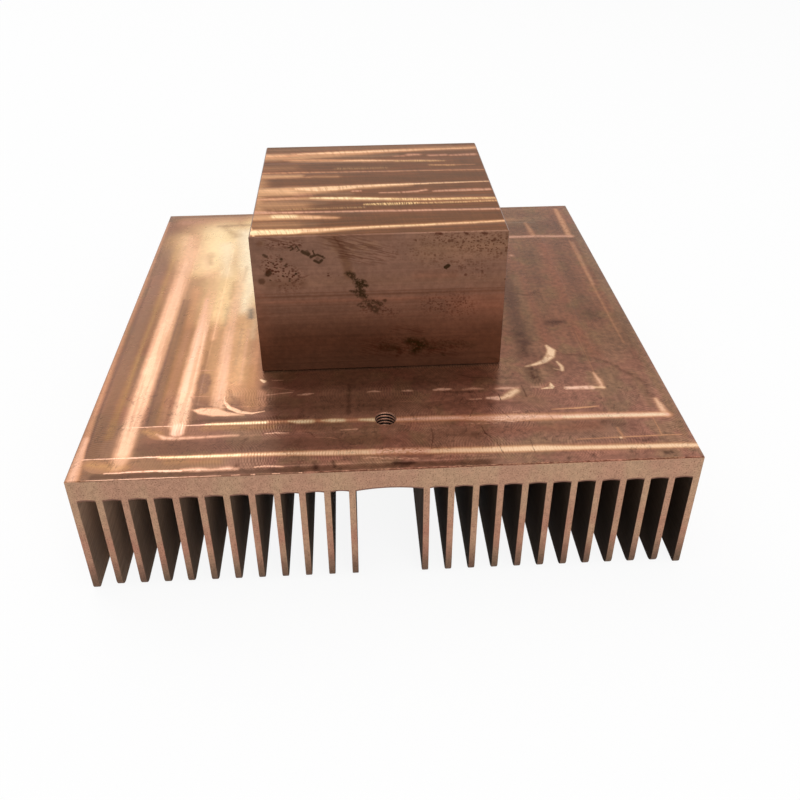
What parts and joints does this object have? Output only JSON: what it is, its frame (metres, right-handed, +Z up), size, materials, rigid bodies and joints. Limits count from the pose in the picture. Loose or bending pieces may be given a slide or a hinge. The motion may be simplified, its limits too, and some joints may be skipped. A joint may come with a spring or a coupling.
{
  "type": "finned copper heat sink",
  "caption": "Square copper heat sink with straight fins under its plate, a central channel between them, a tall square contact block on top and a tapped hole.",
  "frame": {"origin": "under the middle of the part, on the plane that the fin tips stand on", "axes": "+Z up through the contact block, +Y along the fins away from the tapped hole, +X across the fins"},
  "size_m": [0.1264, 0.1264, 0.064],
  "materials": {
    "milled_copper": "face-milled copper plate with sawn copper fins",
    "bar_copper": "dull drawn copper bar with a fly-cut top"
  },
  "bodies": {
    "root": {"finned_base": "milled_copper", "pedestal_block": "bar_copper"}
  },
  "joints": []
}
